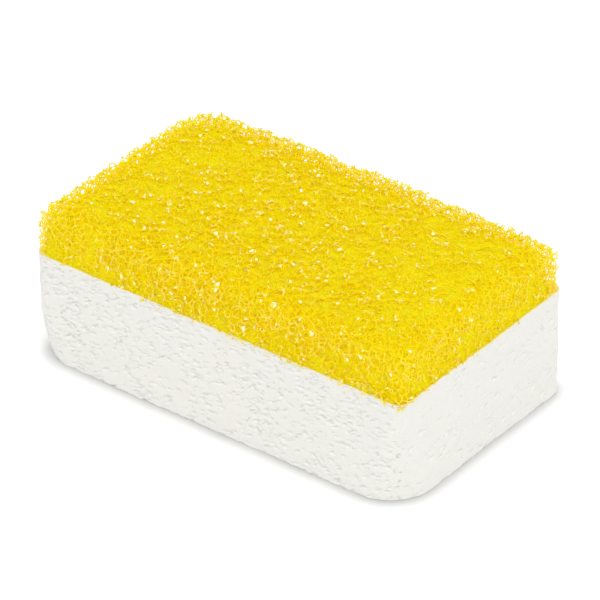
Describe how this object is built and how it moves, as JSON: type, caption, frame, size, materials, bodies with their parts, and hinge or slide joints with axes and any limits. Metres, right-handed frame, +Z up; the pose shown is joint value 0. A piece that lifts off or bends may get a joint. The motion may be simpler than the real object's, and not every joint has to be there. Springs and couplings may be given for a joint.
{
  "type": "grout sponge",
  "caption": "Hand sponge for grout and tiles: a white cellulose block with a coarse yellow open-cell foam scrub pad bonded flush on its upper face",
  "frame": {"origin": "middle of the underside of the white block, at the height of the surface it stands on", "axes": "+X along the length, -Y towards the front long side, +Z up through the yellow pad"},
  "size_m": [0.152, 0.089, 0.057],
  "materials": {
    "cellulose": "matt white regenerated cellulose sponge with fine pores drawn out along the block",
    "scrub_foam": "yellow open-cell polyurethane foam, a net of slightly shiny struts"
  },
  "bodies": {
    "root": {"cellulose_block": "cellulose", "scrub_pad": "scrub_foam"}
  },
  "joints": []
}
